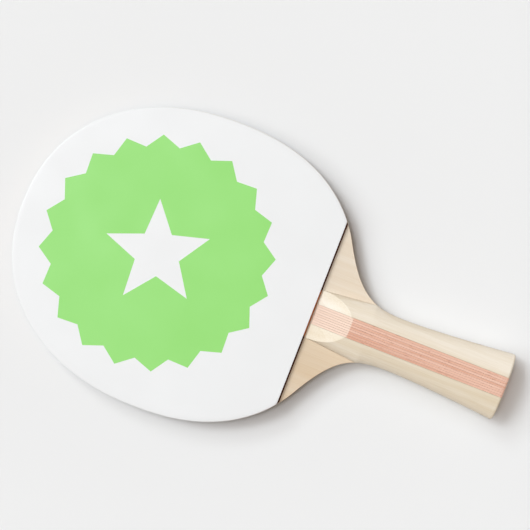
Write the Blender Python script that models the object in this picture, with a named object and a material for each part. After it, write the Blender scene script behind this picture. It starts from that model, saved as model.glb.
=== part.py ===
"""Table tennis paddle with a flared handle, built as the real one is laminated.

Five wooden plies make the blade and run on through the handle. Each face carries a sponge
and a topsheet. Each side of the handle is a scale: two pale blocks with a stack of thin
dyed veneers glued on edge between them.

Every piece is drawn in millimetres with x measured from the blade's tip towards the butt,
y across the paddle and z from the middle of the core ply. The objects are then placed so
that the paddle's box is centred in X and Y and stands on Z = 0.
"""

import math

import bmesh
import bpy
from mathutils import Vector

MM = 0.001  # one millimetre in metres

# Overall size
LENGTH = 256.5  # blade tip to butt
GLUE_LINE = 0.1  # clear gap left for the glue between two flat faces

# Blade outline: two half superellipses that share the widest point
BLADE_HALF_WIDTH = 75.3
WIDEST_X = 87.5
TIP_POWER = 2.17
SHOULDER_REACH = 81.5  # semi-axis of the half that faces the handle
SHOULDER_POWER = 2.3

# Neck: one cubic curve from the shoulder to the narrowest part of the handle
NECK_START_X = 160.0
NECK_END_X = 200.0
NECK_START_PULL = 13.8
NECK_END_PULL = 17.7

# Handle outline
WAIST_HALF_WIDTH = 13.35
BUTT_HALF_WIDTH = 17.3
FLARE_POWER = 1.45
BUTT_ROUND = 1.2  # radius round the edges of the butt

# Blade plies
CORE_PLY = 2.6
INNER_PLY = 0.9
OUTER_PLY = 0.6

# Rubbers
RUBBER_LENGTH = 154.9  # blade tip to the rubber's straight edge
RUBBER_INSET = 0.3  # how far the wood stands proud of the rubber
SPONGE = 1.5
TOPSHEET = 1.6
RIM_ROUND_IN = 1.8  # how far in from the oval rim a topsheet starts to roll off
RIM_ROUND_DOWN = 0.8  # how far down its side the roll-off ends
STRAIGHT_ROUND_IN = 0.4  # the cut along the straight edge is nearly square

# Handle scales
SCALE_FRONT_X = 155.5  # where a scale starts, just clear of the rubber
SCALE_HEIGHT = 8.5
SCALE_FRONT_HALF_WIDTH = 12.6
SCALE_SPREAD = 0.1  # how fast a scale widens until it meets the neck's outline
CROWN_HEIGHT = 8.8  # the crown would reach this height, and is planed flat at SCALE_HEIGHT
CROWN_POWER = 1.9
RAMP_FOOT_HEIGHT = 0.8
RAMP_LENGTH = 18.6
MEETS_NECK_X = 181.5  # where a scale's straight sides run out into the neck's outline
STRIPE_WIDTH = 10.25
VENEERS = 9

# Drawing resolution
TIP_STEPS = 26
SHOULDER_STEPS = 20
NECK_STEPS = 12
FLARE_STEPS = 8
SCALE_NECK_STEPS = 6
VENEER_NECK_STEPS = 2
VENEER_FLARE_STEPS = 4
ROUND_STEPS = 3
RIM_STEPS = 4
CROWN_STEPS = 9

# Sizes worked out from the above
HALF_CORE = CORE_PLY / 2
INNER_PLY_BASE = HALF_CORE + GLUE_LINE
OUTER_PLY_BASE = INNER_PLY_BASE + INNER_PLY + GLUE_LINE
BLADE_FACE = OUTER_PLY_BASE + OUTER_PLY
SPONGE_BASE = BLADE_FACE + GLUE_LINE
TOPSHEET_BASE = SPONGE_BASE + SPONGE + GLUE_LINE
SCALE_BASE = BLADE_FACE + GLUE_LINE
HANDLE_FACE = SCALE_BASE + SCALE_HEIGHT
STRIPE_EDGE = STRIPE_WIDTH / 2
SIDES = (("front", 1), ("back", -1))  # the printed front faces +Z

# Colours as linear red, green and blue
CORE_WOOD = (0.66, 0.47, 0.29)
INNER_WOOD = (0.38, 0.21, 0.11)
FACE_WOOD = (0.76, 0.58, 0.39)
HANDLE_WOOD = (0.82, 0.70, 0.53)
RED_VENEER = (0.64, 0.28, 0.19)
PINK_VENEER = (0.78, 0.50, 0.38)
WHITE_RUBBER = (0.88, 0.89, 0.90)
BLACK_RUBBER = (0.02, 0.02, 0.022)
DARK_SPONGE = (0.045, 0.035, 0.03)


def clear_scene():
    """Remove whatever objects the file starts with."""
    for old in list(bpy.data.objects):
        bpy.data.objects.remove(old, do_unlink=True)


# Outlines: each gives half the paddle's width at a distance x from the tip


def head_half_width(x, inset=0.0):
    """The oval head, drawn in from the wood's own edge by inset."""
    facing_tip = x < WIDEST_X
    reach = (WIDEST_X if facing_tip else SHOULDER_REACH) - inset
    power = TIP_POWER if facing_tip else SHOULDER_POWER
    along = min(abs(x - WIDEST_X) / reach, 1.0)
    return (BLADE_HALF_WIDTH - inset) * (1.0 - along**power) ** (1.0 / power)


def cubic(a, b, c, d, t):
    """A cubic Bezier curve's value at t."""
    u = 1.0 - t
    return a * u**3 + 3 * b * u * u * t + 3 * c * u * t * t + d * t**3


def neck_point(t):
    """The neck curve: it leaves the head along the head's own slope and ends parallel to X."""
    start_y = head_half_width(NECK_START_X)
    step = 0.01
    slope = (head_half_width(NECK_START_X + step) - start_y) / step
    x = cubic(NECK_START_X, NECK_START_X + NECK_START_PULL, NECK_END_X - NECK_END_PULL, NECK_END_X, t)
    y = cubic(start_y, start_y + slope * NECK_START_PULL, WAIST_HALF_WIDTH, WAIST_HALF_WIDTH, t)
    return x, y


def neck_half_width(x):
    """The neck curve's half width at x, found by halving the curve's parameter range."""
    low, high = 0.0, 1.0
    for _ in range(40):
        middle = (low + high) / 2
        if neck_point(middle)[0] < x:
            low = middle
        else:
            high = middle
    return neck_point(low)[1]


def handle_half_width(x):
    """The handle flares from its waist to the butt."""
    along = (x - NECK_END_X) / (LENGTH - NECK_END_X)
    return WAIST_HALF_WIDTH + (BUTT_HALF_WIDTH - WAIST_HALF_WIDTH) * along**FLARE_POWER


def blade_half_width(x):
    """The wood's whole outline."""
    if x <= NECK_START_X:
        return head_half_width(x)
    if x < NECK_END_X:
        return neck_half_width(x)
    return handle_half_width(x)


def scale_half_width(x):
    """A handle scale widens from the rubber until it reaches the blade's own outline."""
    return min(SCALE_FRONT_HALF_WIDTH + SCALE_SPREAD * (x - SCALE_FRONT_X), blade_half_width(x))


def quarter_round(radius, steps=ROUND_STEPS):
    """Points (inset, distance short of the end) round a convex quarter circle."""
    for i in range(steps + 1):
        angle = math.pi / 2 * i / steps
        yield radius * (1 - math.cos(angle)), radius * (1 - math.sin(angle))


def head_points(end_x, shoulder_steps, inset=0.0):
    """One side of the head from the tip to end_x, evenly turned round each half superellipse."""
    points = []
    half_width = BLADE_HALF_WIDTH - inset
    for i in range(TIP_STEPS):
        angle = math.pi / 2 * i / TIP_STEPS
        x = WIDEST_X - (WIDEST_X - inset) * math.cos(angle) ** (2 / TIP_POWER)
        points.append((x, half_width * math.sin(angle) ** (2 / TIP_POWER)))
    reach = SHOULDER_REACH - inset
    last_angle = math.asin(((end_x - WIDEST_X) / reach) ** (SHOULDER_POWER / 2))
    for i in range(shoulder_steps + 1):
        angle = last_angle * i / shoulder_steps
        x = WIDEST_X + reach * math.sin(angle) ** (2 / SHOULDER_POWER)
        points.append((x, half_width * math.cos(angle) ** (2 / SHOULDER_POWER)))
    return points


def both_sides(points):
    """Close a half outline that starts on the axis by adding its mirror image."""
    return points + [(x, -y) for x, y in reversed(points) if y > 0]


def ply_outline():
    """The blade's outline from the tip round both shoulders to the rounded corners of the butt."""
    points = head_points(NECK_START_X, SHOULDER_STEPS)
    points += [neck_point(i / NECK_STEPS) for i in range(1, NECK_STEPS + 1)]
    flare = LENGTH - BUTT_ROUND - NECK_END_X
    for i in range(1, FLARE_STEPS):
        x = NECK_END_X + flare * i / FLARE_STEPS
        points.append((x, handle_half_width(x)))
    for inset, short in quarter_round(BUTT_ROUND):
        x = LENGTH - short
        points.append((x, handle_half_width(x) - inset))
    return both_sides(points)


def rubber_outline(rim_inset=0.0, straight_inset=0.0):
    """The head's outline cut off straight across at the handle."""
    end_x = RUBBER_LENGTH - straight_inset
    return both_sides(head_points(end_x, SHOULDER_STEPS, RUBBER_INSET + rim_inset))


# Solids


def loft(rings):
    """A closed body through rings of equally many points, capped at both ends."""
    body = bmesh.new()
    loops = [[body.verts.new(Vector(point) * MM) for point in ring] for ring in rings]
    count = len(loops[0])
    for lower, upper in zip(loops, loops[1:]):
        for i in range(count):
            j = (i + 1) % count
            body.faces.new((lower[i], lower[j], upper[j], upper[i]))
    body.faces.new(loops[0])
    body.faces.new(loops[-1])
    return body


def layer(outline, bottom, thickness):
    """A flat layer of constant outline."""
    return loft([[(x, y, z) for x, y in outline] for z in (bottom, bottom + thickness)])


def topsheet():
    """The playing rubber: flat, with its outer rim rolled off along a quarter ellipse."""
    rings = [[(x, y, TOPSHEET_BASE) for x, y in rubber_outline()]]
    for inset, short in quarter_round(1.0, RIM_STEPS):
        z = TOPSHEET_BASE + TOPSHEET - short * RIM_ROUND_DOWN
        outline = rubber_outline(inset * RIM_ROUND_IN, inset * STRAIGHT_ROUND_IN)
        rings.append([(x, y, z) for x, y in outline])
    return loft(rings)


def scale_stations(neck_steps, flare_steps):
    """Places along a scale as (x, inset); the inset grows round the edge of the butt."""
    stations = [(SCALE_FRONT_X, 0.0)]
    neck = NECK_END_X - MEETS_NECK_X
    stations += [(MEETS_NECK_X + neck * i / neck_steps, 0.0) for i in range(neck_steps + 1)]
    flare = LENGTH - BUTT_ROUND - NECK_END_X
    stations += [(NECK_END_X + flare * i / flare_steps, 0.0) for i in range(1, flare_steps)]
    stations += [(LENGTH - short, inset) for inset, short in quarter_round(BUTT_ROUND)]
    return stations


def crown_height(y, x, inset):
    """How high a scale stands over its glued face at (x, y), planed flat along the middle."""
    across = abs(y) / (scale_half_width(x) - inset)
    height = (CROWN_HEIGHT - inset) * (1.0 - across**CROWN_POWER) ** (1.0 / CROWN_POWER)
    return min(height, SCALE_HEIGHT - inset)


def handle_block():
    """One pale block of a scale: flat where it is glued, rounded on its outer side."""
    inner_y = STRIPE_EDGE + GLUE_LINE
    rings = []
    for x, inset in scale_stations(SCALE_NECK_STEPS, FLARE_STEPS):
        half_width = scale_half_width(x) - inset
        last_angle = math.acos((inner_y / half_width) ** (CROWN_POWER / 2))
        ring = [(x, inner_y, SCALE_BASE)]
        for i in range(CROWN_STEPS + 1):
            angle = last_angle * i / CROWN_STEPS
            y = half_width * math.cos(angle) ** (2 / CROWN_POWER)
            height = (CROWN_HEIGHT - inset) * math.sin(angle) ** (2 / CROWN_POWER)
            ring.append((x, y, SCALE_BASE + height))
        rings.append(ring)
    return cut_ramp(loft(rings))


def stripe_veneer(number):
    """One dyed veneer, counted from the -Y side of the stripe."""
    pitch = (STRIPE_WIDTH + GLUE_LINE) / VENEERS
    low_y = (number - 1) * pitch - STRIPE_EDGE
    high_y = low_y + pitch - GLUE_LINE
    rings = []
    for x, inset in scale_stations(VENEER_NECK_STEPS, VENEER_FLARE_STEPS):
        low_top = SCALE_BASE + crown_height(low_y, x, inset)
        high_top = SCALE_BASE + crown_height(high_y, x, inset)
        rings.append([
            (x, low_y, SCALE_BASE),
            (x, high_y, SCALE_BASE),
            (x, high_y, high_top),
            (x, low_y, low_top),
        ])
    return cut_ramp(loft(rings))


def cut_ramp(body):
    """Plane the front end of a scale down to a slope that the thumb and finger lie on."""
    rise = SCALE_HEIGHT - RAMP_FOOT_HEIGHT
    foot = Vector((SCALE_FRONT_X, 0.0, SCALE_BASE + RAMP_FOOT_HEIGHT)) * MM
    everything = body.verts[:] + body.edges[:] + body.faces[:]
    bmesh.ops.bisect_plane(
        body,
        geom=everything,
        plane_co=foot,
        plane_no=Vector((-rise, 0.0, RAMP_LENGTH)).normalized(),
        clear_outer=True,
    )
    open_edges = [edge for edge in body.edges if edge.is_boundary]
    bmesh.ops.edgeloop_fill(body, edges=open_edges)
    return body


# Objects


def wood_or_rubber(name, colour, roughness):
    """A plain opaque material."""
    material = bpy.data.materials.new(name)
    material.use_nodes = True
    surface = material.node_tree.nodes["Principled BSDF"]
    surface.inputs["Base Color"].default_value = (*colour, 1.0)
    surface.inputs["Roughness"].default_value = roughness
    surface.inputs["Metallic"].default_value = 0.0
    return material


def add_piece(name, body, material, y_side=1, z_side=1):
    """Turn a body into a named object, mirrored across Y or Z where a side is -1."""
    bmesh.ops.scale(body, vec=(1.0, y_side, z_side), verts=body.verts)
    bmesh.ops.recalc_face_normals(body, faces=body.faces)
    mesh = bpy.data.meshes.new(name)
    body.to_mesh(mesh)
    body.free()
    mesh.materials.append(material)
    mesh.shade_smooth()
    mesh.set_sharp_from_angle(angle=math.radians(35))
    piece = bpy.data.objects.new(name, mesh)
    piece.location = Vector((-LENGTH / 2, 0.0, HANDLE_FACE)) * MM
    bpy.context.scene.collection.objects.link(piece)


def add_blade():
    """The core ply and a pair of plies on each side of it."""
    core = wood_or_rubber("core_wood", CORE_WOOD, 0.7)
    inner = wood_or_rubber("inner_wood", INNER_WOOD, 0.7)
    face = wood_or_rubber("face_wood", FACE_WOOD, 0.6)
    outline = ply_outline()
    add_piece("blade_core_ply", layer(outline, -HALF_CORE, CORE_PLY), core)
    for side_name, z_side in SIDES:
        add_piece(f"blade_{side_name}_inner_ply", layer(outline, INNER_PLY_BASE, INNER_PLY), inner, 1, z_side)
        add_piece(f"blade_{side_name}_outer_ply", layer(outline, OUTER_PLY_BASE, OUTER_PLY), face, 1, z_side)


def add_rubbers():
    """A sponge and a topsheet on each face: white on the front, black on the back."""
    sponge = wood_or_rubber("sponge", DARK_SPONGE, 0.9)
    sheets = {
        "front": wood_or_rubber("white_rubber", WHITE_RUBBER, 0.45),
        "back": wood_or_rubber("black_rubber", BLACK_RUBBER, 0.4),
    }
    for side_name, z_side in SIDES:
        add_piece(f"{side_name}_sponge", layer(rubber_outline(), SPONGE_BASE, SPONGE), sponge, 1, z_side)
        add_piece(f"{side_name}_topsheet", topsheet(), sheets[side_name], 1, z_side)


def add_handle_scales():
    """Two blocks and a stack of veneers on each side of the blade's tail."""
    pale = wood_or_rubber("handle_wood", HANDLE_WOOD, 0.55)
    red = wood_or_rubber("red_veneer", RED_VENEER, 0.55)
    pink = wood_or_rubber("pink_veneer", PINK_VENEER, 0.55)
    for side_name, z_side in SIDES:
        add_piece(f"{side_name}_handle_block_left", handle_block(), pale, -1, z_side)
        add_piece(f"{side_name}_handle_block_right", handle_block(), pale, 1, z_side)
        for number in range(1, VENEERS + 1):
            dyed = red if number % 2 else pink
            add_piece(f"{side_name}_stripe_veneer_{number}", stripe_veneer(number), dyed, 1, z_side)


clear_scene()
add_blade()
add_rubbers()
add_handle_scales()
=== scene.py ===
"""Looks for the table tennis paddle: fine meshes, procedural materials, floor, light and camera.

Shapes are drawn in millimetres with x measured from the blade's tip towards the butt, y across
the paddle and z from the middle of the core ply, as in the CAD. place() turns that into the
frame's metres. Heights and overall sizes come from the frame.
"""

import math

import bmesh
import bpy
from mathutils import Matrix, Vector


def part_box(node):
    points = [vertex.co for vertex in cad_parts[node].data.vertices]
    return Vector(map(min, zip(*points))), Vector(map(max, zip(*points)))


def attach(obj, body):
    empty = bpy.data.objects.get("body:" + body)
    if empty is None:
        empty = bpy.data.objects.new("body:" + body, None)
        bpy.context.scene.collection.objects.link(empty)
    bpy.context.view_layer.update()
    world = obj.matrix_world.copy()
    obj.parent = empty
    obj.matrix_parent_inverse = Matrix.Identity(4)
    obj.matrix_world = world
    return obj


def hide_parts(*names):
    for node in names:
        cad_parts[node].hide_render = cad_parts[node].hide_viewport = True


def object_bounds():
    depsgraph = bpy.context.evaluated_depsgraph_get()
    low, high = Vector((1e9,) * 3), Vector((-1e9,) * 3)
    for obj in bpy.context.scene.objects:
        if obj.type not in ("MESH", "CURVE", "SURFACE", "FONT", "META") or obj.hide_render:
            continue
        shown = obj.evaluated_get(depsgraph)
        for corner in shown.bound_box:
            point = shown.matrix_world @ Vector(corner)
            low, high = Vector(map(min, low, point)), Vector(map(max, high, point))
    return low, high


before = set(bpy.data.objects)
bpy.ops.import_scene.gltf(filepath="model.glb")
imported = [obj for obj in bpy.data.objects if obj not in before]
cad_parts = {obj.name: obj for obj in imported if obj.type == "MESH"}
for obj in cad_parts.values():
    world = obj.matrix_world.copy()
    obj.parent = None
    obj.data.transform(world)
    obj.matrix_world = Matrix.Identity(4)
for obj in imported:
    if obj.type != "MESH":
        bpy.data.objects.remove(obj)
cad_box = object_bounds()

MM = 0.001  # one millimetre in metres
TIP_X = cad_box[0][0]
MIDDLE_Z = (cad_box[0][2] + cad_box[1][2]) / 2
SIDES = (("front", 1), ("back", -1))  # the printed front faces +Z


def place(point):
    """A drawn point in millimetres as a place in the frame in metres."""
    x, y, z = point
    return Vector((TIP_X + x * MM, y * MM, MIDDLE_Z + z * MM))


def drawn_box(node):
    """A CAD node's lowest and highest corners as drawn points."""
    low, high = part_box(node)
    origin = Vector((TIP_X, 0.0, MIDDLE_Z))
    return (low - origin) / MM, (high - origin) / MM


def heights(node):
    """The drawn heights between which a flat CAD node lies."""
    low, high = drawn_box(node)
    return low.z, high.z


# Sizes read from the frame
LENGTH = (cad_box[1][0] - TIP_X) / MM
BLADE_HALF_WIDTH = cad_box[1][1] / MM
RUBBER_INSET = drawn_box("front_topsheet")[0].x
RUBBER_LENGTH = drawn_box("front_topsheet")[1].x
CORE_HEIGHTS = heights("blade_core_ply")
INNER_PLY_HEIGHTS = heights("blade_front_inner_ply")
OUTER_PLY_HEIGHTS = heights("blade_front_outer_ply")
SPONGE_HEIGHTS = heights("front_sponge")
TOPSHEET_BASE, PLAYING_FACE = heights("front_topsheet")
SCALE_BASE, HANDLE_FACE = heights("front_stripe_veneer_5")
SCALE_HEIGHT = HANDLE_FACE - SCALE_BASE
SCALE_FRONT_X = drawn_box("front_stripe_veneer_5")[0].x

# Blade outline, repeated from the CAD: two half superellipses that share the widest point
WIDEST_X = 87.5
TIP_POWER = 2.17
SHOULDER_REACH = 81.5
SHOULDER_POWER = 2.3
NECK_START_X = 160.0
NECK_END_X = 200.0
NECK_START_PULL = 13.8
NECK_END_PULL = 17.7
WAIST_HALF_WIDTH = 13.35
BUTT_HALF_WIDTH = 17.3
FLARE_POWER = 1.45
BUTT_ROUND = 1.2

# Handle scales, repeated from the CAD
SCALE_FRONT_HALF_WIDTH = 12.6
SCALE_SPREAD = 0.1
CROWN_HEIGHT = 8.8
CROWN_POWER = 1.9
RAMP_FOOT_HEIGHT = 0.8
RAMP_LENGTH = 18.6
MEETS_NECK_X = 181.5
STRIPE_WIDTH = 10.25
VENEERS = 9
GLUE_LINE = 0.1
STRIPE_EDGE = STRIPE_WIDTH / 2

# Finishing details too fine for the CAD
PLY_EASE = 0.04  # how far a buried ply's sharp edges are eased
FACE_PLY_EASE = 0.25  # sanding round the outer rim of a face ply
SPONGE_EASE = 0.08
SCALE_EASE = 0.1  # bevel along the cut edges of blocks and veneers
SHEET = 0.85  # the topsheet's own thickness over its pimples
RIM_ROUND_IN = 2.4
RIM_ROUND_DOWN = 0.18
STRAIGHT_ROUND_IN = 0.3
SPONGE_SHOWS = 0.85  # how far the sponge's slanted cut stands out from the topsheet's straight edge
PIMPLE_SPACING = 2.2
PIMPLE_TOP_RADIUS = 0.85
PIMPLE_TIP_RADIUS = 0.75
PIMPLE_CLEARANCE = 1.0  # from the sheet's rim to the middle of the nearest pimple
PIMPLE_BAND = 5.0  # only pimples this near the rim can be seen under it
PIMPLE_SIDES = 10

# Print: a green starburst with a plain star left open in its middle
PRINT_X = 71.7
PRINT_FILM = 0.03
BURST_TEETH = 20
BURST_TIP_RADIUS = 58.9
BURST_VALLEY_RADIUS = 53.1
STAR_POINTS = 5
STAR_TIP_RADIUS = 27.0
STAR_VALLEY_RADIUS = 11.5

# Mesh resolution
HALVINGS = 40  # of the neck curve's parameter range, in search of a given x
TIP_STEPS = 90
SHOULDER_STEPS = 60
NECK_STEPS = 40
FLARE_STEPS = 30
RAMP_STEPS = 8
ROUND_STEPS = 8
EASE_STEPS = 2
CROWN_STEPS = 22
VENEER_TOP_STEPS = 3


# Outlines: each gives half the paddle's width at a distance x from the tip


def head_half_width(x, inset=0.0):
    """The oval head, drawn in from the wood's own edge by inset."""
    facing_tip = x < WIDEST_X
    reach = (WIDEST_X if facing_tip else SHOULDER_REACH) - inset
    power = TIP_POWER if facing_tip else SHOULDER_POWER
    along = min(abs(x - WIDEST_X) / reach, 1.0)
    return (BLADE_HALF_WIDTH - inset) * (1.0 - along**power) ** (1.0 / power)


def cubic(a, b, c, d, t):
    """A cubic Bezier curve's value at t."""
    u = 1.0 - t
    return a * u**3 + 3 * b * u * u * t + 3 * c * u * t * t + d * t**3


def neck_point(t):
    """The neck curve: it leaves the head along the head's own slope and ends parallel to X."""
    start_y = head_half_width(NECK_START_X)
    step = 0.01
    slope = (head_half_width(NECK_START_X + step) - start_y) / step
    x = cubic(NECK_START_X, NECK_START_X + NECK_START_PULL, NECK_END_X - NECK_END_PULL, NECK_END_X, t)
    y = cubic(start_y, start_y + slope * NECK_START_PULL, WAIST_HALF_WIDTH, WAIST_HALF_WIDTH, t)
    return x, y


def neck_half_width(x):
    """The neck curve's half width at x, found by halving the curve's parameter range."""
    low, high = 0.0, 1.0
    for _ in range(HALVINGS):
        middle = (low + high) / 2
        if neck_point(middle)[0] < x:
            low = middle
        else:
            high = middle
    return neck_point(low)[1]


def handle_half_width(x):
    """The handle flares from its waist to the butt."""
    along = (x - NECK_END_X) / (LENGTH - NECK_END_X)
    return WAIST_HALF_WIDTH + (BUTT_HALF_WIDTH - WAIST_HALF_WIDTH) * along**FLARE_POWER


def blade_half_width(x):
    """The wood's whole outline."""
    if x <= NECK_START_X:
        return head_half_width(x)
    if x < NECK_END_X:
        return neck_half_width(x)
    return handle_half_width(x)


def scale_half_width(x):
    """A handle scale widens from the rubber until it reaches the blade's own outline."""
    return min(SCALE_FRONT_HALF_WIDTH + SCALE_SPREAD * (x - SCALE_FRONT_X), blade_half_width(x))


def quarter_round(radius, steps):
    """Points (inset, distance short of the end) round a convex quarter circle."""
    for i in range(steps + 1):
        angle = math.pi / 2 * i / steps
        yield radius * (1 - math.cos(angle)), radius * (1 - math.sin(angle))


def head_points(end_x, inset=0.0):
    """One side of the head from the tip to end_x, evenly turned round each half superellipse."""
    points = []
    half_width = BLADE_HALF_WIDTH - inset
    for i in range(TIP_STEPS):
        angle = math.pi / 2 * i / TIP_STEPS
        x = WIDEST_X - (WIDEST_X - inset) * math.cos(angle) ** (2 / TIP_POWER)
        points.append((x, half_width * math.sin(angle) ** (2 / TIP_POWER)))
    reach = SHOULDER_REACH - inset
    last_angle = math.asin(((end_x - WIDEST_X) / reach) ** (SHOULDER_POWER / 2))
    for i in range(SHOULDER_STEPS + 1):
        angle = last_angle * i / SHOULDER_STEPS
        x = WIDEST_X + reach * math.sin(angle) ** (2 / SHOULDER_POWER)
        points.append((x, half_width * math.cos(angle) ** (2 / SHOULDER_POWER)))
    return points


def both_sides(points):
    """Close a half outline that starts on the axis by adding its mirror image."""
    return points + [(x, -y) for x, y in reversed(points) if y > 0]


def ply_outline():
    """The blade's outline from the tip round both shoulders to the rounded corners of the butt."""
    points = head_points(NECK_START_X)
    points += [neck_point(i / NECK_STEPS) for i in range(1, NECK_STEPS + 1)]
    flare = LENGTH - BUTT_ROUND - NECK_END_X
    for i in range(1, FLARE_STEPS):
        x = NECK_END_X + flare * i / FLARE_STEPS
        points.append((x, handle_half_width(x)))
    for inset, short in quarter_round(BUTT_ROUND, ROUND_STEPS):
        x = LENGTH - short
        points.append((x, handle_half_width(x) - inset))
    return both_sides(points)


def rubber_outline(rim_inset=0.0, straight_inset=0.0):
    """The head's outline cut off straight across at the handle."""
    return both_sides(head_points(RUBBER_LENGTH - straight_inset, RUBBER_INSET + rim_inset))


def drawn_in(outline, inset):
    """An outline moved inwards by a small inset, each point along its own corner's bisector."""
    if inset == 0:
        return outline
    moved = []
    count = len(outline)
    for i, (x, y) in enumerate(outline):
        before = Vector(outline[i]) - Vector(outline[i - 1])
        after = Vector(outline[(i + 1) % count]) - Vector(outline[i])
        inward = before.orthogonal().normalized() + after.orthogonal().normalized()
        inward *= 2 / inward.length_squared  # so that both edges move by the whole inset
        moved.append((x - inward.x * inset, y - inward.y * inset))
    return moved


def star_radius(angle, points, tip_radius, valley_radius):
    """The distance from a straight-sided star's middle to its edge, with a point at angle 0."""
    half_point = math.pi / points
    turned = abs((angle + half_point) % (2 * half_point) - half_point)
    reach = tip_radius * math.sin(turned) + valley_radius * math.sin(half_point - turned)
    return tip_radius * valley_radius * math.sin(half_point) / reach


# Bodies


def loft(rings):
    """A closed body through rings of equally many points, capped at both ends."""
    body = bmesh.new()
    loops = [[body.verts.new(Vector(point)) for point in ring] for ring in rings]
    count = len(loops[0])
    for lower, upper in zip(loops, loops[1:]):
        for i in range(count):
            j = (i + 1) % count
            body.faces.new((lower[i], lower[j], upper[j], upper[i]))
    body.faces.new(loops[0])
    body.faces.new(loops[-1])
    return body


def layer(outline, bottom, top, lower_ease, upper_ease):
    """A flat layer whose two rims are eased by small quarter rounds."""
    rings = []
    for inset, short in reversed(list(quarter_round(lower_ease, EASE_STEPS))):
        rings.append([(x, y, bottom + short) for x, y in drawn_in(outline, inset)])
    for inset, short in quarter_round(upper_ease, EASE_STEPS):
        rings.append([(x, y, top - short) for x, y in drawn_in(outline, inset)])
    return loft(rings)


def sponge():
    """The sponge: upright round its rim and cut at a slant along the straight edge, where it shows."""
    low, high = SPONGE_HEIGHTS
    levels = (  # height, inset all round and how far the slanted cut has come in
        (low, SPONGE_EASE, 0.0),
        (low + SPONGE_EASE, 0.0, 0.0),
        (high - SPONGE_EASE, 0.0, SPONGE_SHOWS),
        (high, SPONGE_EASE, SPONGE_SHOWS),
    )
    rings = []
    for z, inset, slant in levels:
        rings.append([(x, y, z) for x, y in rubber_outline(inset, slant + inset)])
    return loft(rings)


def topsheet():
    """The playing rubber: flat, with its outer rim rolled off along a quarter ellipse."""
    rings = [[(x, y, PLAYING_FACE - SHEET) for x, y in rubber_outline(0.0, SPONGE_SHOWS)]]
    for inset, short in quarter_round(1.0, ROUND_STEPS):
        z = PLAYING_FACE - short * RIM_ROUND_DOWN
        outline = rubber_outline(inset * RIM_ROUND_IN, SPONGE_SHOWS + inset * STRAIGHT_ROUND_IN)
        rings.append([(x, y, z) for x, y in outline])
    return loft(rings)


def has_pimple(x, y):
    """Whether a pimple stands at (x, y): inside the sheet and near enough to its rim to be seen."""
    clear = RUBBER_INSET + PIMPLE_CLEARANCE
    end_x = RUBBER_LENGTH - SPONGE_SHOWS - PIMPLE_CLEARANCE
    inside = x < end_x and abs(y) < head_half_width(x, clear)
    deep = x < end_x - PIMPLE_BAND and abs(y) < head_half_width(x, clear + PIMPLE_BAND)
    return inside and not deep


def pimples():
    """The moulded pimples that join the topsheet to its sponge, in staggered rows."""
    body = bmesh.new()
    row_step = PIMPLE_SPACING * math.sqrt(3) / 2
    rows = int(BLADE_HALF_WIDTH / row_step)
    for row in range(-rows, rows + 1):
        shift = PIMPLE_SPACING / 2 * (row % 2)
        for column in range(int(RUBBER_LENGTH / PIMPLE_SPACING) + 1):
            x, y = column * PIMPLE_SPACING + shift, row * row_step
            if has_pimple(x, y):
                add_pimple(body, x, y)
    return body


def add_pimple(body, x, y):
    """One pimple: a short cone, widest where it grows out of the sheet."""
    rings = []
    for radius, z in ((PIMPLE_TIP_RADIUS, TOPSHEET_BASE), (PIMPLE_TOP_RADIUS, PLAYING_FACE - SHEET)):
        ring = []
        for i in range(PIMPLE_SIDES):
            angle = 2 * math.pi * i / PIMPLE_SIDES
            ring.append(body.verts.new((x + radius * math.cos(angle), y + radius * math.sin(angle), z)))
        rings.append(ring)
    for i in range(PIMPLE_SIDES):
        j = (i + 1) % PIMPLE_SIDES
        body.faces.new((rings[0][i], rings[0][j], rings[1][j], rings[1][i]))
    body.faces.new(rings[0])
    body.faces.new(rings[1])


def print_film():
    """The starburst's film of ink, with the star left open, as a flat ring of sectors."""
    shapes = (
        (STAR_POINTS, STAR_TIP_RADIUS, STAR_VALLEY_RADIUS),
        (BURST_TEETH, BURST_TIP_RADIUS, BURST_VALLEY_RADIUS),
    )
    corners = 2 * math.lcm(STAR_POINTS, BURST_TEETH)
    body = bmesh.new()
    loops = []
    for shape in shapes:
        for z in (PLAYING_FACE, PLAYING_FACE + PRINT_FILM):
            loop = []
            for i in range(corners):
                angle = 2 * math.pi * i / corners
                radius = star_radius(angle, *shape)
                x, y = PRINT_X - radius * math.cos(angle), radius * math.sin(angle)
                loop.append(body.verts.new((x, y, z)))
            loops.append(loop)
    star_low, star_high, burst_low, burst_high = loops
    walls = ((star_low, star_high), (star_high, burst_high), (burst_high, burst_low), (burst_low, star_low))
    for one, other in walls:
        for i in range(corners):
            j = (i + 1) % corners
            body.faces.new((one[i], one[j], other[j], other[i]))
    return body


def scale_stations():
    """Places along a scale as (x, inset); the inset grows round the edge of the butt."""
    ramp = MEETS_NECK_X - SCALE_FRONT_X
    stations = [(SCALE_FRONT_X + ramp * i / RAMP_STEPS, 0.0) for i in range(RAMP_STEPS)]
    neck_steps = NECK_STEPS // 2
    neck = NECK_END_X - MEETS_NECK_X
    stations += [(MEETS_NECK_X + neck * i / neck_steps, 0.0) for i in range(neck_steps + 1)]
    flare = LENGTH - BUTT_ROUND - NECK_END_X
    stations += [(NECK_END_X + flare * i / FLARE_STEPS, 0.0) for i in range(1, FLARE_STEPS)]
    stations += [(LENGTH - short, inset) for inset, short in quarter_round(BUTT_ROUND, ROUND_STEPS)]
    return stations


def crown_height(y, x, inset):
    """How high a scale stands over its glued face at (x, y), planed flat along the middle."""
    across = abs(y) / (scale_half_width(x) - inset)
    height = (CROWN_HEIGHT - inset) * (1.0 - across**CROWN_POWER) ** (1.0 / CROWN_POWER)
    return min(height, SCALE_HEIGHT - inset)


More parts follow.
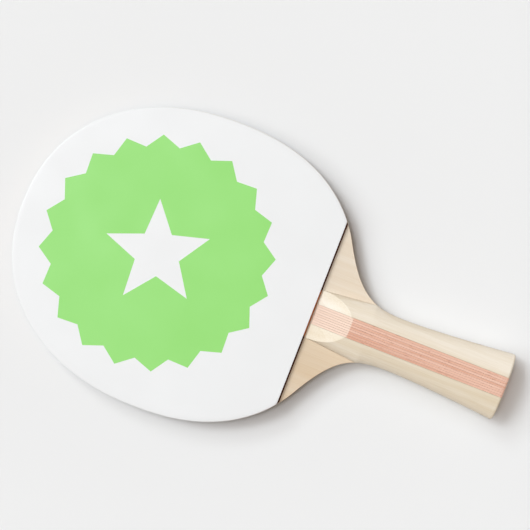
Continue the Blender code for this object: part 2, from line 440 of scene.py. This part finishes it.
def handle_block():
    """One pale block of a scale: flat where it is glued, rounded on its outer side."""
    inner_y = STRIPE_EDGE + GLUE_LINE
    rings = []
    for x, inset in scale_stations():
        half_width = scale_half_width(x) - inset
        last_angle = math.acos((inner_y / half_width) ** (CROWN_POWER / 2))
        ring = [(x, inner_y, SCALE_BASE)]
        for i in range(CROWN_STEPS + 1):
            angle = last_angle * i / CROWN_STEPS
            y = half_width * math.cos(angle) ** (2 / CROWN_POWER)
            height = (CROWN_HEIGHT - inset) * math.sin(angle) ** (2 / CROWN_POWER)
            ring.append((x, y, SCALE_BASE + height))
        rings.append(ring)
    return cut_ramp(loft(rings))


def stripe_veneer(number):
    """One dyed veneer, counted from the -Y side of the stripe."""
    pitch = (STRIPE_WIDTH + GLUE_LINE) / VENEERS
    low_y = (number - 1) * pitch - STRIPE_EDGE
    high_y = low_y + pitch - GLUE_LINE
    rings = []
    for x, inset in scale_stations():
        ring = [(x, low_y, SCALE_BASE), (x, high_y, SCALE_BASE)]
        for i in range(VENEER_TOP_STEPS + 1):
            y = high_y + (low_y - high_y) * i / VENEER_TOP_STEPS
            ring.append((x, y, SCALE_BASE + crown_height(y, x, inset)))
        rings.append(ring)
    return cut_ramp(loft(rings))


def cut_ramp(body):
    """Plane the front end of a scale down to a slope that the thumb and finger lie on."""
    bmesh.ops.bisect_plane(
        body,
        geom=body.verts[:] + body.edges[:] + body.faces[:],
        plane_co=Vector((SCALE_FRONT_X, 0.0, SCALE_BASE + RAMP_FOOT_HEIGHT)),
        plane_no=Vector((RAMP_FOOT_HEIGHT - SCALE_HEIGHT, 0.0, RAMP_LENGTH)).normalized(),
        clear_outer=True,
    )
    open_edges = [edge for edge in body.edges if edge.is_boundary]
    bmesh.ops.edgeloop_fill(body, edges=open_edges)
    return body


# Materials

WOOD_ROUGHNESS = 0.48
ROUGHNESS_SPREAD = 0.06  # how much rougher or smoother a wood's streaks are
WOOD_ALONG = 0.03  # pattern units per millimetre along the grain, in rings and streaks
BROAD_ALONG, BROAD_ACROSS = 0.008, 0.16  # the same for the broad changes of tone
PORE_ALONG = 0.35
PITH_ACROSS, PITH_HIGH = 31.0, 44.0  # how far off the growth rings' middle lies, in millimetres
LEAN_REACH = 12.0  # how far from the axis a wood's change of tone across the paddle goes on
SANDED_SHARE = 0.8  # how much of its own tone the ramp's wood loses
SANDED_BLUR = 0.2  # millimetres either side of the ramp's end
FOAM_CELLS = 4.0  # per millimetre
FOAM_BLUR = 0.5  # millimetres either side of where the sponge's painted shade gives way to painted light
MIX_COLOURS = (6, 7)  # the Mix node's inputs and output that hold colours
MIX_RESULT = 2


def screen_colour(red, green, blue):
    """A colour given as 0 to 255 screen values, as linear values with an alpha of 1."""
    linear = []
    for value in (red, green, blue):
        share = value / 255
        linear.append(share / 12.92 if share <= 0.04045 else ((share + 0.055) / 1.055) ** 2.4)
    return (*linear, 1.0)


class Finish:
    """A material under construction, with short calls for the nodes it needs."""

    def __init__(self, name):
        self.material = bpy.data.materials.new(name)
        self.material.use_nodes = True
        self.tree = self.material.node_tree
        self.surface = self.tree.nodes["Principled BSDF"]
        self.coordinates = self.tree.nodes.new("ShaderNodeTexCoord").outputs["Object"]

    def add(self, kind, values, **settings):
        """A node with its settings made and each input set to a value or linked to a socket."""
        node = self.tree.nodes.new(kind)
        for name, setting in settings.items():
            setattr(node, name, setting)
        for name, value in values.items():
            self.supply(node.inputs[name], value)
        return node

    def supply(self, socket, value):
        """Link an input to another node's socket, or set it to a constant."""
        if isinstance(value, bpy.types.NodeSocket):
            self.tree.links.new(value, socket)
        else:
            socket.default_value = value

    def per_mm(self, x, y, z, offset=(0.0, 0.0, 0.0)):
        """Object coordinates scaled to so many pattern units per millimetre along each axis."""
        scale = (x / MM, y / MM, z / MM)
        values = {"Vector": self.coordinates, "Scale": scale, "Location": offset}
        return self.add("ShaderNodeMapping", values).outputs["Vector"]

    def noise(self, vector, detail=2.0, roughness=0.5):
        """Smooth noise from about 0.2 to 0.8 with one bump for each pattern unit."""
        values = {"Vector": vector, "Scale": 1.0, "Detail": detail, "Roughness": roughness}
        return self.add("ShaderNodeTexNoise", values).outputs["Fac"]

    def rescale(self, value, low, high, new_low, new_high):
        """A value from low to high stretched to a new range and held inside it."""
        values = {"Value": value, "From Min": low, "From Max": high, "To Min": new_low, "To Max": new_high}
        return self.add("ShaderNodeMapRange", values).outputs["Result"]

    def mix(self, share, one, other):
        """Two colours blended by a share from 0 to 1."""
        first, second = MIX_COLOURS
        node = self.add("ShaderNodeMix", {}, data_type="RGBA")
        for socket, value in ((0, share), (first, one), (second, other)):
            self.supply(node.inputs[socket], value)
        return node.outputs[MIX_RESULT]

    def bump(self, height, depth, normal=None):
        """A surface normal tilted by a height pattern that is depth millimetres high."""
        values = {"Height": height, "Strength": 1.0, "Distance": depth * MM}
        if normal is not None:
            values["Normal"] = normal
        return self.add("ShaderNodeBump", values).outputs["Normal"]

    def finish(self, colour, roughness, normal, **constants):
        """Link the patterns to the shader and set its constant inputs."""
        for name, value in (("Base Color", colour), ("Roughness", roughness), ("Normal", normal)):
            self.supply(self.surface.inputs[name], value)
        for name, value in constants.items():
            self.surface.inputs[name.replace("_", " ")].default_value = value
        return self.material


def wood(
    name, early, late, pore, ring_width, ring_share, streak_share, pore_share, seed,
    crosswise=False, fineness=2.2, pore_fineness=7.0, lean=0.0, sanded=None,
):
    """Wood with growth rings about a far axis, fibre streaks and short dark pores along the grain.

    The three shares say how far each pattern takes the colour from early wood to late wood or to
    the pores' colour. crosswise turns the grain along Y, fineness and pore_fineness are the numbers
    of streaks and pores per millimetre across the grain, lean deepens the colour by that share
    towards -Y, and sanded is the paler colour of the ramp.
    """
    finish = Finish(name)

    def along_grain(along, across, high, offset=(0.0, 0.0, 0.0)):
        if crosswise:
            return finish.per_mm(across, along, high, offset)
        return finish.per_mm(along, across, high, offset)

    shift = (seed * 3.7, seed * 1.9, seed * 2.3)  # each seed reads another stretch of the noise
    ring_scale = math.pi / 10 / ring_width  # the wave's ring is pi / 10 units wide at scale 1
    rings = finish.add(
        "ShaderNodeTexWave",
        {
            "Vector": along_grain(WOOD_ALONG, 1.0, 1.0, (0.0, PITH_ACROSS + seed, PITH_HIGH)),
            "Scale": ring_scale,
            "Distortion": 3.0,
            "Detail": 2.0,
            "Detail Scale": 0.35,
            "Detail Roughness": 0.5,
        },
        wave_type="RINGS",
        rings_direction="Y" if crosswise else "X",
        wave_profile="SAW",
    ).outputs["Fac"]
    streaks = finish.noise(along_grain(WOOD_ALONG, fineness, fineness, shift), 4.0, 0.6)
    broad = finish.noise(along_grain(BROAD_ALONG, BROAD_ACROSS, BROAD_ACROSS, shift), 1.0)
    pores = finish.noise(along_grain(PORE_ALONG, pore_fineness, pore_fineness, shift), 1.0)
    where = finish.add("ShaderNodeSeparateXYZ", {0: finish.per_mm(1.0, 1.0, 1.0)}).outputs
    half_lean = lean / 2
    parts = [
        finish.rescale(rings, 0.25, 1.0, 0.0, ring_share),
        finish.rescale(streaks, 0.32, 0.7, -streak_share / 2, streak_share),
        finish.rescale(broad, 0.3, 0.7, -streak_share / 2, streak_share),
        finish.rescale(where[1], -LEAN_REACH, LEAN_REACH, half_lean, -half_lean),
    ]
    total = half_lean
    for part in parts:
        total = finish.add("ShaderNodeMath", {0: total, 1: part}, operation="ADD").outputs[0]
    colour = finish.mix(total, early, late)
    colour = finish.mix(finish.rescale(pores, 0.64, 0.74, 0.0, pore_share), colour, pore)
    if sanded is not None:
        ramp_end = TIP_X / MM + SCALE_FRONT_X + RAMP_LENGTH
        before, after = ramp_end - SANDED_BLUR, ramp_end + SANDED_BLUR
        on_ramp = finish.rescale(where[0], before, after, SANDED_SHARE, 0.0)
        colour = finish.mix(on_ramp, colour, sanded)
    rough, smooth = WOOD_ROUGHNESS + ROUGHNESS_SPREAD, WOOD_ROUGHNESS - ROUGHNESS_SPREAD
    shine = finish.rescale(streaks, 0.3, 0.7, rough, smooth)
    fibres = finish.bump(streaks, 0.02)
    return finish.finish(colour, shine, finish.bump(pores, 0.01, fibres), Specular_IOR_Level=0.35)


def rubber(name, colour, mottled, roughness):
    """Smooth moulded rubber: faint mottling and a grain too fine to see as more than a soft sheen."""
    finish = Finish(name)
    clouds = finish.noise(finish.per_mm(0.05, 0.05, 0.05), 3.0)
    grain = finish.noise(finish.per_mm(3.0, 3.0, 3.0), 2.0)
    colour = finish.mix(finish.rescale(clouds, 0.35, 0.65, 0.0, 1.0), colour, mottled)
    shine = finish.rescale(clouds, 0.3, 0.7, roughness - 0.03, roughness + 0.03)
    return finish.finish(colour, shine, finish.bump(grain, 0.004), Specular_IOR_Level=0.4)


def foam(name, colour, cell_wall, painted_ramp_light):
    """Sponge cut through its cells: painted shade round its edge, painted ramp light at a scale's foot."""
    finish = Finish(name)
    position = finish.per_mm(FOAM_CELLS, FOAM_CELLS, FOAM_CELLS)
    depth = finish.add("ShaderNodeTexVoronoi", {"Vector": position, "Scale": 1.0}).outputs["Distance"]
    colour = finish.mix(finish.rescale(depth, 0.1, 0.7, 0.0, 1.0), colour, cell_wall)
    # painted light: near the scale's foot the sponge takes a lighter colour for the light the ramp throws
    # back onto it, and elsewhere its dark colour is painted shade
    scale_foot = place((RUBBER_LENGTH, 0.0, 0.0)) / MM
    away = finish.add(
        "ShaderNodeVectorMath", {0: finish.per_mm(1.0, 1.0, 1.0), 1: scale_foot}, operation="DISTANCE"
    ).outputs["Value"]
    inner, outer = SCALE_FRONT_HALF_WIDTH - FOAM_BLUR, SCALE_FRONT_HALF_WIDTH + FOAM_BLUR
    colour = finish.mix(finish.rescale(away, inner, outer, 1.0, 0.0), colour, painted_ramp_light)
    return finish.finish(colour, 0.9, finish.bump(depth, 0.08), Specular_IOR_Level=0.2)


MATERIALS = {
    "core_wood": wood(
        "Core wood",
        screen_colour(214, 184, 144), screen_colour(186, 150, 108), screen_colour(120, 88, 58),
        1.6, 0.7, 0.35, 0.5, 1.0,
    ),
    "inner_wood": wood(
        "Inner ply wood",
        screen_colour(160, 124, 90), screen_colour(122, 88, 60), screen_colour(70, 46, 30),
        1.2, 0.6, 0.4, 0.6, 2.0, crosswise=True,
    ),
    "face_wood": wood(
        "Face ply wood",
        screen_colour(224, 211, 193), screen_colour(206, 180, 146), screen_colour(180, 146, 110),
        3.1, 0.1, 0.2, 0.15, 3.0, lean=0.5,
    ),
    "handle_wood": wood(
        "Handle wood",
        screen_colour(234, 224, 209), screen_colour(214, 197, 168), screen_colour(198, 176, 144),
        5.2, 0.2, 0.3, 0.12, 4.0, lean=0.4,
    ),
    "red_veneer": wood(
        "Red veneer",
        screen_colour(232, 187, 165), screen_colour(214, 155, 129), screen_colour(184, 118, 94),
        2.5, 0.1, 0.65, 0.7, 5.0,
        fineness=3.5, pore_fineness=2.6, sanded=screen_colour(228, 203, 184),
    ),
    "pink_veneer": wood(
        "Pink veneer",
        screen_colour(236, 196, 176), screen_colour(218, 162, 136), screen_colour(188, 124, 100),
        2.5, 0.1, 0.65, 0.7, 6.0,
        fineness=3.5, pore_fineness=2.6, sanded=screen_colour(230, 205, 187),
    ),
    "white_rubber": rubber("White rubber", (0.757, 0.757, 0.757, 1.0), (0.752, 0.752, 0.752, 1.0), 0.42),
    "black_rubber": rubber("Black rubber", screen_colour(30, 30, 32), screen_colour(25, 25, 27), 0.38),
    "green_ink": rubber("Green ink", screen_colour(139, 211, 103), screen_colour(138, 210, 102), 0.42),
    # the sponge's two dark colours are painted shade along the rubber's edge, and the last, lighter colour
    # is painted light at the scale's foot
    "sponge": foam(
        "Sponge", screen_colour(96, 38, 14), screen_colour(66, 25, 9), screen_colour(222, 142, 95)
    ),
}


# Pieces

SHARP_EDGE = math.radians(18)  # edges that turn further than this are eased


def add_piece(name, body, slot, nodes=(), y_side=1, z_side=1, ease=0.0):
    """Turn a drawn body into a piece of the paddle, mirrored across Y or Z where a side is -1."""
    for vert in body.verts:
        vert.co = place((vert.co.x, vert.co.y * y_side, vert.co.z * z_side))
    bmesh.ops.recalc_face_normals(body, faces=body.faces)
    mesh = bpy.data.meshes.new(name)
    body.to_mesh(mesh)
    body.free()
    mesh.shade_smooth()
    mesh.materials.append(MATERIALS[slot])
    piece = bpy.data.objects.new(name, mesh)
    bpy.context.scene.collection.objects.link(piece)
    if ease:
        bevel = piece.modifiers.new("Eased edges", "BEVEL")
        bevel.width = ease * MM
        bevel.segments = 2
        bevel.limit_method = "ANGLE"
        bevel.angle_limit = SHARP_EDGE
        bevel.harden_normals = True
    piece.modifiers.new("Flat faces stay flat", "WEIGHTED_NORMAL")
    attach(piece, "root")
    if nodes:
        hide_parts(*nodes)
    return piece


def finished(node, body, slot, y_side=1, z_side=1, ease=0.0):
    """The finished piece that stands for one CAD node."""
    return add_piece(f"{node}_finished", body, slot, (node,), y_side, z_side, ease)


def add_blade():
    """The core ply and a pair of plies on each side of it."""
    outline = ply_outline()
    finished("blade_core_ply", layer(outline, *CORE_HEIGHTS, PLY_EASE, PLY_EASE), "core_wood")
    for side_name, z_side in SIDES:
        inner = layer(outline, *INNER_PLY_HEIGHTS, PLY_EASE, PLY_EASE)
        finished(f"blade_{side_name}_inner_ply", inner, "inner_wood", 1, z_side)
        outer = layer(outline, *OUTER_PLY_HEIGHTS, PLY_EASE, FACE_PLY_EASE)
        finished(f"blade_{side_name}_outer_ply", outer, "face_wood", 1, z_side)


def add_rubbers():
    """A sponge, a pimpled topsheet and its print on the front, and the same in plain black behind."""
    for side_name, z_side in SIDES:
        slot = "white_rubber" if side_name == "front" else "black_rubber"
        finished(f"{side_name}_sponge", sponge(), "sponge", 1, z_side)
        finished(f"{side_name}_topsheet", topsheet(), slot, 1, z_side)
        add_piece(f"{side_name}_topsheet_pimples", pimples(), slot, (), 1, z_side)
    add_piece("starburst_print", print_film(), "green_ink")


def add_handle_scales():
    """Two blocks and a stack of veneers on each side of the blade's tail."""
    for side_name, z_side in SIDES:
        for block_name, y_side in (("left", -1), ("right", 1)):
            node = f"{side_name}_handle_block_{block_name}"
            finished(node, handle_block(), "handle_wood", y_side, z_side, SCALE_EASE)
        for number in range(1, VENEERS + 1):
            slot = "red_veneer" if number % 2 else "pink_veneer"
            node = f"{side_name}_stripe_veneer_{number}"
            finished(node, stripe_veneer(number), slot, 1, z_side, SCALE_EASE / 2)


# Stage

FLOOR_SIZE = 6000.0
FLOOR_COLOUR = (0.80, 0.80, 0.80, 1.0)
HORIZON_COLOUR = (0.86, 0.86, 0.86, 1.0)
ZENITH_COLOUR = (0.16, 0.091, 0.041, 1.0)
HORIZON_BAND = (0.12, 0.35)  # heights in the sky, as sines, between which one fades into the other
LIGHT_COLOUR = (0.89, 0.955, 1.0)
TOUCHING_X = SCALE_FRONT_X + RAMP_LENGTH  # where the back scale's flat strip starts
CAMERA_X = 123.7
CAMERA_Y = 13.8
CAMERA_ABOVE = 920.0  # over the core ply's middle
CAMERA_TURN = math.radians(21.19)
CAMERA_LENS = 125.1
CAMERA_SENSOR = 36.0
CAMERA_REACH = 100.0  # in metres


def add_floor():
    """A plain floor under the two places the paddle rests on: its back scale and its tip's rubber."""
    rise = HANDLE_FACE - PLAYING_FACE
    slope = math.atan2(rise, TOUCHING_X - RUBBER_INSET)
    half = FLOOR_SIZE / 2 * MM
    mesh = bpy.data.meshes.new("floor")
    corners = [(-half, -half, 0.0), (half, -half, 0.0), (half, half, 0.0), (-half, half, 0.0)]
    mesh.from_pydata(corners, [], [(0, 1, 2, 3)])
    finish = Finish("Floor")
    speckle = finish.noise(finish.per_mm(0.5, 0.5, 0.5), 2.0)
    matt = finish.finish(FLOOR_COLOUR, 0.9, finish.bump(speckle, 0.002), Specular_IOR_Level=0.1)
    mesh.materials.append(matt)
    floor = bpy.data.objects.new("floor", mesh)
    floor.location = place((TOUCHING_X, 0.0, -HANDLE_FACE))
    floor.rotation_euler = (0.0, slope, 0.0)
    bpy.context.scene.collection.objects.link(floor)


def add_sky():
    """A studio surround: pale walls at the horizon and a dimmer ceiling."""
    world = bpy.data.worlds.new("Studio")
    world.use_nodes = True
    tree = world.node_tree
    direction = tree.nodes.new("ShaderNodeTexCoord").outputs["Generated"]
    split = tree.nodes.new("ShaderNodeSeparateXYZ")
    fade = tree.nodes.new("ShaderNodeMapRange")
    fade.interpolation_type = "SMOOTHSTEP"
    fade.inputs["From Min"].default_value, fade.inputs["From Max"].default_value = HORIZON_BAND
    blend = tree.nodes.new("ShaderNodeMix")
    blend.data_type = "RGBA"
    for socket, colour in zip(MIX_COLOURS, (HORIZON_COLOUR, ZENITH_COLOUR)):
        blend.inputs[socket].default_value = colour
    tree.links.new(direction, split.inputs[0])
    tree.links.new(split.outputs["Z"], fade.inputs["Value"])
    tree.links.new(fade.outputs["Result"], blend.inputs[0])
    tree.links.new(blend.outputs[MIX_RESULT], tree.nodes["Background"].inputs["Color"])
    bpy.context.scene.world = world


def add_light(name, lean, turn, spread, strength):
    """A distant soft light that leans from overhead towards the tip, turned about the vertical."""
    data = bpy.data.lights.new(name, "SUN")
    data.energy = strength
    data.color = LIGHT_COLOUR
    data.angle = math.radians(spread)
    light = bpy.data.objects.new(name, data)
    light.rotation_euler = (0.0, -math.radians(lean), -math.radians(turn))
    light.location = place((CAMERA_X, CAMERA_Y, CAMERA_ABOVE))
    bpy.context.scene.collection.objects.link(light)


def add_lights():
    """A large soft light on the tip's side with a smaller one in it, one overhead and one low down."""
    add_light("large light", 31.0, 0.0, 45.0, 1.46)
    add_light("key light", 29.0, 12.0, 14.0, 0.90)
    add_light("overhead light", 8.0, 5.0, 14.0, 0.83)
    add_light("side light", 44.0, 35.0, 14.0, 0.45)


def add_camera():
    """The camera looks straight down, turned so that the handle points right and slightly down."""
    data = bpy.data.cameras.new("camera")
    data.lens = CAMERA_LENS
    data.sensor_width = CAMERA_SENSOR
    data.clip_end = CAMERA_REACH
    camera = bpy.data.objects.new("camera", data)
    camera.location = place((CAMERA_X, CAMERA_Y, CAMERA_ABOVE))
    camera.rotation_euler = (0.0, 0.0, CAMERA_TURN)
    bpy.context.scene.collection.objects.link(camera)
    bpy.context.scene.camera = camera


add_blade()
add_rubbers()
add_handle_scales()
add_floor()
add_sky()
add_lights()
add_camera()
bpy.context.scene.view_settings.view_transform = "Standard"
